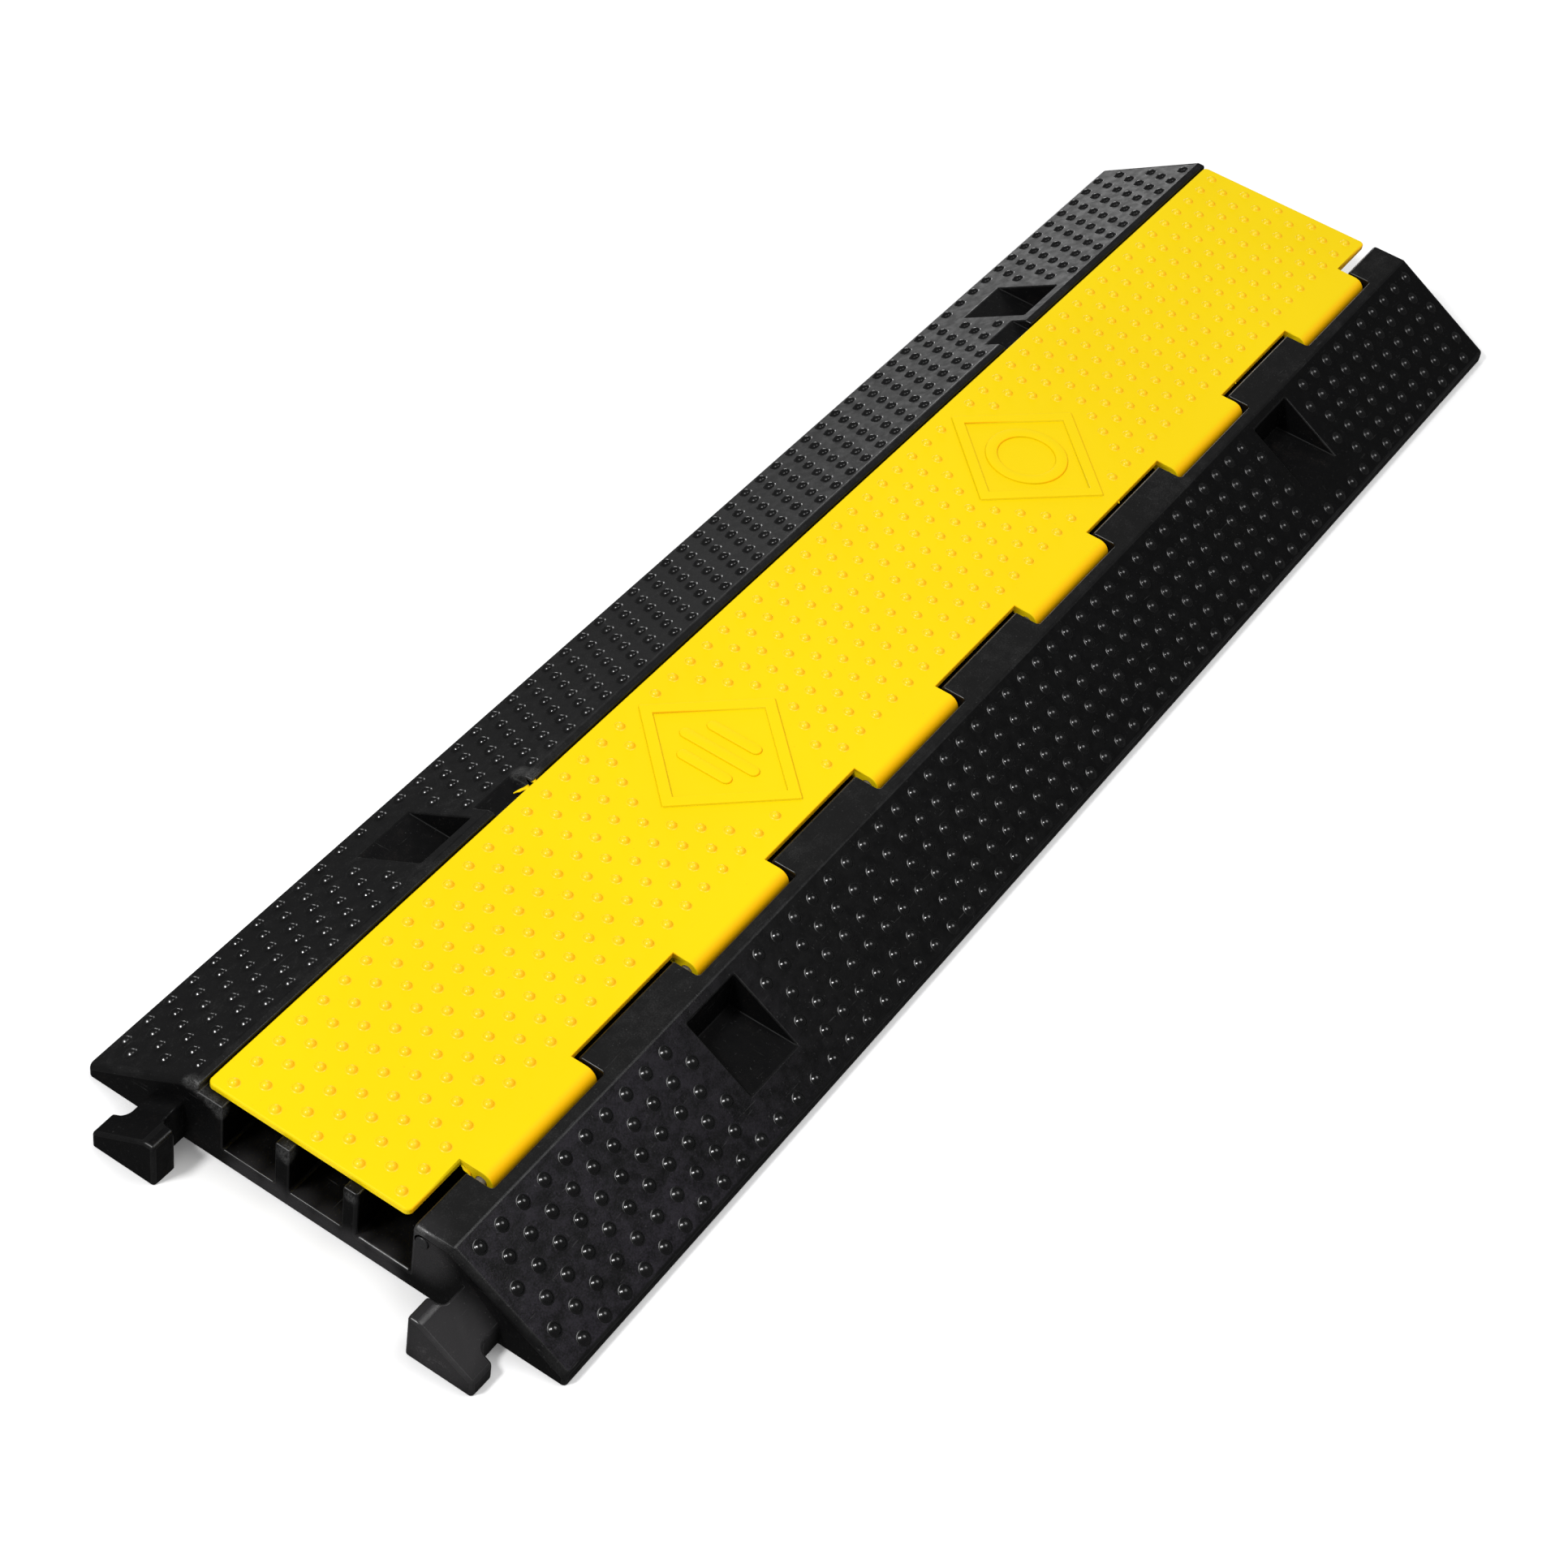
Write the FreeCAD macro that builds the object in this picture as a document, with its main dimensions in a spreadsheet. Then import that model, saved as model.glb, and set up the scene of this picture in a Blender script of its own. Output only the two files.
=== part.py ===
import FreeCAD, Part
import os
import Sketcher

# A three-channel rubber cable protector ramp with a hinged lid.
# Frame: X runs along the cables, Y across them from ramp to ramp, Z up.
# The origin is on the floor in the middle of the ramp body. The hinge is on the -Y side
# and the two coupling lugs are on the -X end.

os.makedirs("parts", exist_ok=True)
doc = FreeCAD.newDocument("cable_ramp")

# ---------------------------------------------------------------- driving sizes (mm)

SIZES = [
    ("body_length", "1000", "ramp body without the lugs"),
    ("body_width", "285", "toe to toe"),
    ("body_height", "46", "floor to the top of the body"),
    ("toe_height", "8", "upright edge at the foot of each slope"),
    ("latch_slope_run", "64", "toe to crease on the lid's opening side"),
    ("hinge_slope_run", "68", "toe to crease on the hinge side"),
    ("floor_thickness", "10.5", "rubber under the channels"),
    ("channel_width", "31.5", "each of the three cable channels"),
    ("divider_thickness", "8.5", "walls between the channels"),
    ("latch_wall_y", "59", "channel wall on the opening side"),
    ("seat_height", "41.5", "ledge and dividers that carry the lid"),
    ("lid_gap", "1", "gap between the lid's free edge and the body"),
    ("edge_round", "3.5", "rounding along the two ends of the body"),
    ("toe_round", "2.5", "rounding along the toes"),
    ("knuckle_round", "2", "rounding of the knuckles towards the channels"),
    ("floor_fillet", "1.5", "fillet at the foot of the channel walls"),
    ("hinge_y", "-58.5", "hinge axis"),
    ("hinge_z", "38.5", "hinge axis"),
    ("rod_radius", "3", "hinge rod"),
    ("rod_length", "980", "hinge rod"),
    ("rod_clearance", "0.05", "radial running clearance in the lid's tabs"),
    ("rod_chamfer", "0.5", "both ends of the rod"),
    ("plug_radius", "3.5", "end plug, a press fit in the mouth of the rod's bore"),
    ("plug_depth", "8", "how far a plug reaches in"),
    ("plug_proud", "0.8", "how far a plug stands out of the end face"),
    ("plug_round", "0.6", "rim of a plug"),
    ("tab_count", "6", "hinge tabs on the lid"),
    ("tab_width", "82", "along X"),
    ("tab_side_gap", "3", "between a centred tab and the knuckles beside it"),
    ("tab_radius", "7", "rounded outer end of a tab"),
    ("tab_web_y", "-44", "where a tab's underside meets the lid plate"),
    ("recess_wall_y", "-68", "outer wall of the recesses that hold the tabs"),
    ("recess_floor", "29.5", "floor of those recesses"),
    ("recess_round", "2", "upright corners of those recesses"),
    ("lid_length", "992", "along X"),
    ("lid_shift", "1.5", "how far the lid sits towards the sockets, off the middle"),
    ("lid_thickness", "4", "plate"),
    ("lid_latch_y", "73", "free edge of the lid"),
    ("lid_notch_y", "-49.5", "edge of the plate between the tabs"),
    ("lid_end_notch_y", "-46.5", "edge of the plate beyond the outer tabs"),
    ("lid_corner", "3.5", "corner rounding in plan"),
    ("lid_edge_round", "1.2", "top edge of the lid"),
    ("frame_x", "160", "sign frame centres either side of the middle"),
    ("frame_y", "11.5", "sign frame centres"),
    ("frame_half", "52.5", "centre to corner of a frame, outside"),
    ("frame_bar", "6.5", "width of a frame's bar"),
    ("frame_rise", "1.4", "height of a frame above the lid"),
    ("hold_x", "300", "hand holds either side of the middle"),
    ("hold_width", "41", "along X"),
    ("hold_setback", "5", "crease to the back wall of a hand hold"),
    ("hold_floor", "19.7", "floor of a hand hold"),
    ("hold_round", "1.2", "upright inside corners of a hand hold"),
    ("finger_x", "256", "finger recesses either side of the middle"),
    ("finger_width", "31", "along X"),
    ("finger_floor", "40.5", "floor of a finger recess"),
    ("finger_inner_y", "67", "how far a finger recess reaches under the lid"),
    ("finger_outer_y", "96", "past the slope on the outside"),
    ("lug_offset", "49", "toe to the middle of a lug"),
    ("lug_head_width", "38.5", "across Y"),
    ("lug_head_length", "15.3", "along X"),
    ("lug_neck_width", "21.8", "across Y"),
    ("lug_neck_length", "15.2", "along X"),
    ("lug_low_top", "10", "height of a lug's outer edge"),
    ("lug_high_top", "28.5", "height of a lug's inner edge"),
    ("lug_flat", "6.5", "level strip along a lug's inner edge"),
    ("lug_round", "2", "upright corners of a lug's head"),
    ("lug_fillet", "4", "inside corners between a lug's neck and its head"),
    ("socket_clearance", "1.5", "all round a lug in its socket"),
]

# Lengths that follow from the ones above.
DERIVED = [
    ("half_length", "body_length / 2"),
    ("half_width", "body_width / 2"),
    ("latch_crease_y", "half_width - latch_slope_run"),
    ("hinge_crease_y", "hinge_slope_run - half_width"),
    ("minus_half_width", "-half_width"),
    ("land_wall_y", "lid_latch_y + lid_gap"),
    ("divider_a_y", "latch_wall_y - channel_width"),
    ("divider_b_y", "divider_a_y - divider_thickness"),
    ("divider_c_y", "divider_b_y - channel_width"),
    ("divider_d_y", "divider_c_y - divider_thickness"),
    ("knuckle_face_y", "divider_d_y - channel_width"),
    ("tab_pitch", "body_length / tab_count"),
    ("first_tab_x", "(tab_pitch - body_length) / 2"),
    ("recess_width", "tab_width + 2 * tab_side_gap"),
    ("lid_top", "seat_height + lid_thickness"),
    ("tab_bottom", "hinge_z - tab_radius"),
    ("tab_bore", "rod_radius + rod_clearance"),
    ("lid_start_x", "lid_shift - lid_length / 2"),
    ("lid_end_x", "lid_shift + lid_length / 2"),
    ("lid_tab_x", "first_tab_x + lid_shift"),
    ("first_tab_start_x", "lid_tab_x - tab_width / 2"),
    ("last_tab_end_x", "lid_shift * 2 - first_tab_start_x"),
    ("frame_inner", "frame_half - frame_bar * sqrt(2)"),
    ("hold_latch_y", "latch_crease_y + hold_setback"),
    ("hold_hinge_y", "hinge_crease_y - hold_setback"),
    ("hold_depth", "body_height - hold_floor + 1"),
    ("hold_left_x", "hold_x - hold_width / 2"),
    ("hold_right_x", "hold_x + hold_width / 2"),
    ("finger_left_x", "finger_x - finger_width / 2"),
    ("finger_right_x", "finger_x + finger_width / 2"),
    ("finger_depth", "body_height - finger_floor + 1"),
    ("lug_length", "lug_neck_length + lug_head_length"),
    ("lug_rise", "(lug_high_top - lug_low_top) / (lug_head_width - lug_flat)"),
    ("head_outer_y", "half_width - lug_offset + lug_head_width / 2"),
    ("head_inner_y", "half_width - lug_offset - lug_head_width / 2"),
    ("lug_flat_y", "head_inner_y + lug_flat"),
    ("neck_outer_y", "half_width - lug_offset + lug_neck_width / 2"),
    ("neck_inner_y", "half_width - lug_offset - lug_neck_width / 2"),
    ("neck_low_top", "lug_low_top + lug_rise * (head_outer_y - neck_outer_y)"),
    ("neck_high_top", "lug_low_top + lug_rise * (head_outer_y - neck_inner_y)"),
    ("socket_outer_y", "head_outer_y + socket_clearance"),
    ("socket_inner_y", "head_inner_y - socket_clearance"),
    ("socket_low_top", "lug_low_top + socket_clearance"),
    ("socket_high_top", "lug_high_top + socket_clearance"),
    ("mouth_outer_y", "neck_outer_y + socket_clearance"),
    ("mouth_inner_y", "neck_inner_y - socket_clearance"),
    ("mouth_low_top", "neck_low_top + socket_clearance"),
    ("mouth_high_top", "neck_high_top + socket_clearance"),
    ("head_start_x", "-half_length - lug_neck_length"),
    ("mouth_cut_length", "lug_neck_length"),
    ("socket_start_x", "half_length - lug_neck_length + socket_clearance"),
    ("socket_length", "lug_head_length + 2 * socket_clearance"),
    ("recess_top", "body_height + 1"),
    ("recess_open_y", "knuckle_face_y + 1"),
    ("plug_start_x", "half_length - plug_depth"),
    ("plug_length", "plug_depth + plug_proud"),
    ("frame_outer_left_x", "frame_x - frame_half"),
    ("frame_outer_right_x", "frame_x + frame_half"),
    ("frame_outer_top_y", "frame_y + frame_half"),
    ("frame_outer_bottom_y", "frame_y - frame_half"),
    ("frame_inner_left_x", "frame_x - frame_inner"),
    ("frame_inner_right_x", "frame_x + frame_inner"),
    ("frame_inner_top_y", "frame_y + frame_inner"),
    ("frame_inner_bottom_y", "frame_y - frame_inner"),
]


def fill_sheet():
    """Write every driving and derived size into one spreadsheet."""
    sheet = doc.addObject("Spreadsheet::Sheet", "Sizes")
    row = 1
    for alias, value, note in SIZES:
        sheet.set("A%d" % row, alias)
        sheet.set("B%d" % row, value)
        sheet.set("C%d" % row, note)
        sheet.setAlias("B%d" % row, alias)
        row += 1
    for alias, formula in DERIVED:
        sheet.set("A%d" % row, alias)
        sheet.set("B%d" % row, "=" + formula)
        sheet.setAlias("B%d" % row, alias)
        row += 1
    doc.recompute()
    return sheet


sheet = fill_sheet()


def size(name):
    """The value of a named size, with an optional leading minus sign."""
    if name.startswith("-"):
        return -size(name[1:])
    value = sheet.get(name)
    return float(getattr(value, "Value", value))


def bind(thing, prop, name):
    """Tie a property to a named size."""
    sign = "-" if name.startswith("-") else ""
    thing.setExpression(prop, sign + "Sizes." + name.lstrip("-"))


# ---------------------------------------------------------------- small building tools

def new_body(label):
    body = doc.addObject("PartDesign::Body", label)
    body.Label = label
    return body


def new_sketch(body, name, plane, offset=""):
    """A sketch on one of the body's own origin planes, moved along its normal if asked."""
    sketch = body.newObject("Sketcher::SketchObject", name)
    role = {"XY": "XY_Plane", "XZ": "XZ_Plane", "YZ": "YZ_Plane"}[plane]
    for feature in body.Origin.OriginFeatures:
        if feature.Role == role:
            sketch.AttachmentSupport = [(feature, "")]
    sketch.MapMode = "FlatFace"
    if offset:
        bind(sketch, ".AttachmentOffset.Base.z", offset)
    return sketch


def pin_point(sketch, geometry, end, across, up):
    """Fix one point of a curve at two named sizes."""
    for kind, name, prop in (("DistanceX", across, "x"), ("DistanceY", up, "y")):
        if name == "zero":
            line = -2 if kind == "DistanceX" else -1
            sketch.addConstraint(Sketcher.Constraint("PointOnObject", geometry, end, line))
            continue
        index = sketch.addConstraint(
            Sketcher.Constraint(kind, -1, 1, geometry, end, size(name))
        )
        bind(sketch, "Constraints[%d]" % index, name)


def point_of(pair):
    """A sketch point from a pair of size names."""
    across, up = (0.0 if name == "zero" else size(name) for name in pair)
    return FreeCAD.Vector(across, up, 0)


def outline(sketch, corners):
    """A closed outline of straight lines through named corners."""
    count = len(corners)
    first = sketch.GeometryCount
    for index in range(count):
        start = point_of(corners[index])
        end = point_of(corners[(index + 1) % count])
        sketch.addGeometry(Part.LineSegment(start, end), False)
    for index in range(count):
        following = first + (index + 1) % count
        sketch.addConstraint(
            Sketcher.Constraint("Coincident", first + index, 2, following, 1)
        )
    for index, (across, up) in enumerate(corners):
        pin_point(sketch, first + index, 1, across, up)


def circle(sketch, across, up, radius):
    """A circle with a named centre and radius."""
    centre = point_of((across, up))
    index = sketch.addGeometry(
        Part.Circle(centre, FreeCAD.Vector(0, 0, 1), size(radius)), False
    )
    pin_point(sketch, index, 3, across, up)
    tie = sketch.addConstraint(Sketcher.Constraint("Radius", index, size(radius)))
    bind(sketch, "Constraints[%d]" % tie, radius)


def extrude(body, kind, name, sketch, length="", midplane=False, backwards=False):
    """A pad or pocket of a sketch. With no length, a pocket goes through everything."""
    doc.recompute()
    before = body.Shape.Volume if body.Tip else 0.0
    feature = body.newObject("PartDesign::" + kind, name)
    feature.Profile = sketch
    if length:
        bind(feature, "Length", length)
    else:
        feature.Type = 1
    feature.Midplane = midplane
    feature.Reversed = backwards
    sketch.Visibility = False
    doc.recompute()
    grown = feature.Shape.Volume - before
    if (kind == "Pad") != (grown > 0) or abs(grown) < 1:
        raise RuntimeError("%s %s changed nothing" % (kind, name))
    return feature


def row_along_x(body, feature, name):
    """Repeat a feature once for each hinge tab."""
    pattern = body.newObject("PartDesign::LinearPattern", name)
    pattern.Originals = [feature]
    for axis in body.Origin.OriginFeatures:
        if axis.Role == "X_Axis":
            pattern.Direction = (axis, [""])
    bind(pattern, "Occurrences", "tab_count")
    pattern.setExpression("Length", "Sizes.tab_pitch * (Sizes.tab_count - 1)")
    body.Tip = pattern
    doc.recompute()
    return pattern


def round_edges(body, name, radius, wanted):
    """Fillet every edge whose two ends pass the test."""
    doc.recompute()
    previous = body.Tip
    names = []
    for index, edge in enumerate(previous.Shape.Edges):
        if len(edge.Vertexes) != 2:
            continue
        first, second = (vertex.Point for vertex in edge.Vertexes)
        if wanted(edge, first, second):
            names.append("Edge%d" % (index + 1))
    if not names:
        raise RuntimeError("no edges found for " + name)
    fillet = body.newObject("PartDesign::Fillet", name)
    fillet.Base = (previous, names)
    bind(fillet, "Radius", radius)
    doc.recompute()
    if "Invalid" in fillet.State:
        raise RuntimeError("%s: %s" % (name, fillet.getStatusString()))
    return fillet


def near(first, second):
    return abs(first - second) < 0.01


def upright(first, second):
    """True for an edge that runs straight up."""
    return near(first.x, second.x) and near(first.y, second.y)


def along_x(first, second):
    """True for an edge that runs along X."""
    return near(first.y, second.y) and near(first.z, second.z)


# ---------------------------------------------------------------- rubber base

def lug_outline(side):
    """Side view of a lug's head, on the latch side (no sign) or the hinge side (minus)."""
    return [
        (side + "head_outer_y", "zero"),
        (side + "head_outer_y", "lug_low_top"),
        (side + "lug_flat_y", "lug_high_top"),
        (side + "head_inner_y", "lug_high_top"),
        (side + "head_inner_y", "zero"),
    ]


def neck_outline(side):
    return [
        (side + "neck_outer_y", "zero"),
        (side + "neck_outer_y", "neck_low_top"),
        (side + "neck_inner_y", "neck_high_top"),
        (side + "neck_inner_y", "zero"),
    ]


def socket_outline(side):
    return [
        (side + "socket_outer_y", "zero"),
        (side + "socket_outer_y", "socket_low_top"),
        (side + "lug_flat_y", "socket_high_top"),
        (side + "socket_inner_y", "socket_high_top"),
        (side + "socket_inner_y", "zero"),
    ]


def mouth_outline(side):
    return [
        (side + "mouth_outer_y", "zero"),
        (side + "mouth_outer_y", "mouth_low_top"),
        (side + "mouth_inner_y", "mouth_high_top"),
        (side + "mouth_inner_y", "zero"),
    ]


def make_base():
    body = new_body("base")

    section = new_sketch(body, "base_section", "YZ")
    outline(section, [
        ("half_width", "zero"),
        ("half_width", "toe_height"),
        ("latch_crease_y", "body_height"),
        ("land_wall_y", "body_height"),
        ("land_wall_y", "seat_height"),
        ("latch_wall_y", "seat_height"),
        ("latch_wall_y", "floor_thickness"),
        ("divider_a_y", "floor_thickness"),
        ("divider_a_y", "seat_height"),
        ("divider_b_y", "seat_height"),
        ("divider_b_y", "floor_thickness"),
        ("divider_c_y", "floor_thickness"),
        ("divider_c_y", "seat_height"),
        ("divider_d_y", "seat_height"),
        ("divider_d_y", "floor_thickness"),
        ("knuckle_face_y", "floor_thickness"),
        ("knuckle_face_y", "body_height"),
        ("hinge_crease_y", "body_height"),
        ("minus_half_width", "toe_height"),
        ("minus_half_width", "zero"),
    ])
    extrude(body, "Pad", "base_block", section, "body_length", midplane=True)

    round_edges(body, "channel_fillets", "floor_fillet", lambda edge, first, second: (
        along_x(first, second) and near(first.z, size("floor_thickness"))
    ))

    def at_body_end(edge, first, second):
        """The top edges of the two end faces, over the slopes and beside the lid."""
        if not near(first.x, second.x) or not near(abs(first.x), size("half_length")):
            return False
        if min(first.z, second.z) < size("toe_height") - 1:
            return False
        middle = edge.CenterOfMass
        outside = middle.y > size("land_wall_y") or middle.y < size("knuckle_face_y")
        return outside and not upright(first, second)

    round_edges(body, "end_edges", "edge_round", at_body_end)

    round_edges(body, "knuckle_edge", "knuckle_round", lambda edge, first, second: (
        along_x(first, second)
        and near(first.y, size("knuckle_face_y"))
        and near(first.z, size("body_height"))
    ))
    round_edges(body, "toe_edges", "toe_round", lambda edge, first, second: (
        along_x(first, second) and near(first.z, size("toe_height"))
    ))

    recess = new_sketch(body, "recess_section", "YZ", "first_tab_x")
    outline(recess, [
        ("recess_wall_y", "recess_floor"),
        ("recess_wall_y", "recess_top"),
        ("recess_open_y", "recess_top"),
        ("recess_open_y", "recess_floor"),
    ])
    recess_cut = extrude(body, "Pocket", "tab_recess", recess, "recess_width", midplane=True)
    row_along_x(body, recess_cut, "tab_recesses")
    round_edges(body, "recess_corners", "recess_round", lambda edge, first, second: (
        upright(first, second)
        and near(first.y, size("recess_wall_y"))
        and min(first.z, second.z) > size("recess_floor") - 1
    ))

    holds = new_sketch(body, "hold_plan", "XY", "hold_floor")
    for inner, outer in (("hold_latch_y", "half_width"), ("hold_hinge_y", "minus_half_width")):
        for side in ("", "-"):
            outline(holds, [
                (side + "hold_left_x", inner),
                (side + "hold_right_x", inner),
                (side + "hold_right_x", outer),
                (side + "hold_left_x", outer),
            ])
    extrude(body, "Pocket", "hand_holds", holds, "hold_depth", backwards=True)
    round_edges(body, "hold_corners", "hold_round", lambda edge, first, second: (
        upright(first, second)
        and near(min(first.z, second.z), size("hold_floor"))
        and (near(first.y, size("hold_latch_y")) or near(first.y, size("hold_hinge_y")))
    ))

    fingers = new_sketch(body, "finger_plan", "XY", "finger_floor")
    for side in ("", "-"):
        outline(fingers, [
            (side + "finger_left_x", "finger_inner_y"),
            (side + "finger_right_x", "finger_inner_y"),
            (side + "finger_right_x", "finger_outer_y"),
            (side + "finger_left_x", "finger_outer_y"),
        ])
    extrude(body, "Pocket", "finger_recesses", fingers, "finger_depth", backwards=True)

    head = new_sketch(body, "lug_heads", "YZ", "head_start_x")
    neck = new_sketch(body, "lug_necks", "YZ", "-half_length")
    for side in ("", "-"):
        outline(head, lug_outline(side))
        outline(neck, neck_outline(side))
    extrude(body, "Pad", "neck_pads", neck, "lug_length", backwards=True)
    extrude(body, "Pad", "head_pads", head, "lug_head_length", backwards=True)
    round_edges(body, "lug_corners", "lug_round", lambda edge, first, second: (
        upright(first, second) and first.x < size("head_start_x") - 1
    ))
    round_edges(body, "lug_fillets", "lug_fillet", lambda edge, first, second: (
        upright(first, second)
        and near(first.x, size("head_start_x"))
        and size("neck_inner_y") - 1 < abs(first.y) < size("neck_outer_y") + 1
    ))

    mouth = new_sketch(body, "socket_mouths", "YZ", "half_length")
    socket = new_sketch(body, "socket_rooms", "YZ", "socket_start_x")
    for side in ("", "-"):
        outline(mouth, mouth_outline(side))
        outline(socket, socket_outline(side))
    extrude(body, "Pocket", "mouth_cuts", mouth, "mouth_cut_length")
    extrude(body, "Pocket", "socket_cuts", socket, "socket_length")

    bore = new_sketch(body, "rod_bore", "YZ", "half_length")
    circle(bore, "hinge_y", "hinge_z", "rod_radius")
    extrude(body, "Pocket", "rod_bore_cut", bore)
    for name, offset, backwards in (
        ("near_plug_seat", "-half_length", True),
        ("far_plug_seat", "half_length", False),
    ):
        seat = new_sketch(body, name, "YZ", offset)
        circle(seat, "hinge_y", "hinge_z", "plug_radius")
        extrude(body, "Pocket", name + "_cut", seat, "plug_depth", backwards=backwards)
    return body


# ---------------------------------------------------------------- lid

def make_lid():
    body = new_body("lid")

    plate = new_sketch(body, "plate_plan", "XY", "seat_height")
    outline(plate, [
        ("lid_start_x", "lid_latch_y"),
        ("lid_start_x", "lid_end_notch_y"),
        ("first_tab_start_x", "lid_end_notch_y"),
        ("first_tab_start_x", "lid_notch_y"),
        ("last_tab_end_x", "lid_notch_y"),
        ("last_tab_end_x", "lid_end_notch_y"),
        ("lid_end_x", "lid_end_notch_y"),
        ("lid_end_x", "lid_latch_y"),
    ])
    extrude(body, "Pad", "lid_plate", plate, "lid_thickness")
    round_edges(body, "lid_corners", "lid_corner", lambda edge, first, second: (
        upright(first, second)
        and (near(first.x, size("lid_start_x")) or near(first.x, size("lid_end_x")))
    ))

    tab = new_sketch(body, "tab_section", "YZ", "lid_tab_x")
    tab_outline(tab)
    tab_pad = extrude(body, "Pad", "hinge_tab", tab, "tab_width", midplane=True)
    row_along_x(body, tab_pad, "hinge_tabs")

    bore = new_sketch(body, "tab_bore_sketch", "YZ", "half_length")
    circle(bore, "hinge_y", "hinge_z", "tab_bore")
    extrude(body, "Pocket", "tab_bores", bore)

    top = size("lid_top")
    round_edges(body, "lid_top_edge", "lid_edge_round", lambda edge, first, second: (
        near(first.z, top)
        and near(second.z, top)
        and edge.CenterOfMass.y > size("lid_notch_y") + 1
        and edge.Length > 3
    ))

    frames = new_sketch(body, "sign_frames", "XY", "lid_top")
    for side in ("", "-"):
        for reach in ("outer", "inner"):
            outline(frames, [
                (side + "frame_%s_right_x" % reach, "frame_y"),
                (side + "frame_x", "frame_%s_top_y" % reach),
                (side + "frame_%s_left_x" % reach, "frame_y"),
                (side + "frame_x", "frame_%s_bottom_y" % reach),
            ])
    extrude(body, "Pad", "frame_bars", frames, "frame_rise")
    return body


def tab_outline(sketch):
    """A tab: level on top, half round at its outer end, sloping back up to the plate."""
    axis = ("hinge_y", "hinge_z")
    top = FreeCAD.Vector(size("hinge_y"), size("lid_top"), 0)
    bottom = FreeCAD.Vector(size("hinge_y"), size("tab_bottom"), 0)
    outer = FreeCAD.Vector(size("hinge_y") - size("tab_radius"), size("hinge_z"), 0)
    round_end = sketch.addGeometry(Part.Arc(top, outer, bottom), False)
    corners = [
        ("hinge_y", "tab_bottom"),
        ("tab_web_y", "seat_height"),
        ("tab_web_y", "lid_top"),
        ("hinge_y", "lid_top"),
    ]
    lines = []
    for index in range(3):
        start = point_of(corners[index])
        end = point_of(corners[index + 1])
        lines.append(sketch.addGeometry(Part.LineSegment(start, end), False))
    for index in range(2):
        sketch.addConstraint(
            Sketcher.Constraint("Coincident", lines[index], 2, lines[index + 1], 1)
        )
    for line, (across, up) in zip(lines, corners):
        pin_point(sketch, line, 1, across, up)
    pin_point(sketch, round_end, 3, *axis)
    join_nearest(sketch, round_end, lines[0], 1, bottom)
    join_nearest(sketch, round_end, lines[2], 2, top)
    index = sketch.addConstraint(
        Sketcher.Constraint("DistanceX", -1, 1, lines[2], 2, size("hinge_y"))
    )
    bind(sketch, "Constraints[%d]" % index, "hinge_y")


def join_nearest(sketch, arc, line, line_end, place):
    """Join a line's end to whichever end of the arc lies there."""
    ends = {
        1: sketch.Geometry[arc].StartPoint,
        2: sketch.Geometry[arc].EndPoint,
    }
    arc_end = min(ends, key=lambda end: ends[end].distanceToPoint(place))
    sketch.addConstraint(Sketcher.Constraint("Coincident", arc, arc_end, line, line_end))


# ---------------------------------------------------------------- hinge rod and end plugs

def rings_at(feature, distance):
    """Names of the round edges that lie this far from the middle along X."""
    names = []
    for index, edge in enumerate(feature.Shape.Edges):
        if len(edge.Vertexes) == 1 and near(abs(edge.CenterOfMass.x), distance):
            names.append("Edge%d" % (index + 1))
    return names


def make_rod():
    body = new_body("hinge_rod")
    section = new_sketch(body, "rod_section", "YZ")
    circle(section, "hinge_y", "hinge_z", "rod_radius")
    pad = extrude(body, "Pad", "rod_pad", section, "rod_length", midplane=True)
    chamfer = body.newObject("PartDesign::Chamfer", "rod_ends")
    chamfer.Base = (pad, rings_at(pad, size("rod_length") / 2))
    bind(chamfer, "Size", "rod_chamfer")
    doc.recompute()
    return body


def make_plug(label, offset, backwards):
    """A round plug that closes the mouth of the rod's bore, slightly proud of the face."""
    body = new_body(label)
    section = new_sketch(body, label + "_section", "YZ", offset)
    circle(section, "hinge_y", "hinge_z", "plug_radius")
    pad = extrude(body, "Pad", label + "_pad", section, "plug_length", backwards=backwards)
    rim = body.newObject("PartDesign::Fillet", label + "_rim")
    rim.Base = (pad, rings_at(pad, size("half_length") + size("plug_proud")))
    bind(rim, "Radius", "plug_round")
    doc.recompute()
    return body


BODIES = [
    make_base(),
    make_lid(),
    make_rod(),
    make_plug("lug_end_plug", "-plug_start_x", True),
    make_plug("socket_end_plug", "plug_start_x", False),
]

# ---------------------------------------------------------------- checks and export

doc.recompute()
for item in doc.Objects:
    for word in ("Invalid", "Error"):
        if word in item.State:
            raise RuntimeError("%s is %s" % (item.Name, item.State))
for body in BODIES:
    shape = body.Shape
    if shape.isNull() or not shape.isValid() or len(shape.Solids) != 1:
        raise RuntimeError(body.Label + " isn't one valid solid")
    shape.exportStep("parts/%s.step" % body.Label)
    box = shape.BoundBox
    print("%-16s %9.0f mm3  X %.1f..%.1f  Y %.1f..%.1f  Z %.1f..%.1f" % (
        body.Label, shape.Volume, box.XMin, box.XMax, box.YMin, box.YMax, box.ZMin, box.ZMax,
    ))
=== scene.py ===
import math
import random

import bmesh
import bpy
from mathutils import Matrix, Vector


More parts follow.
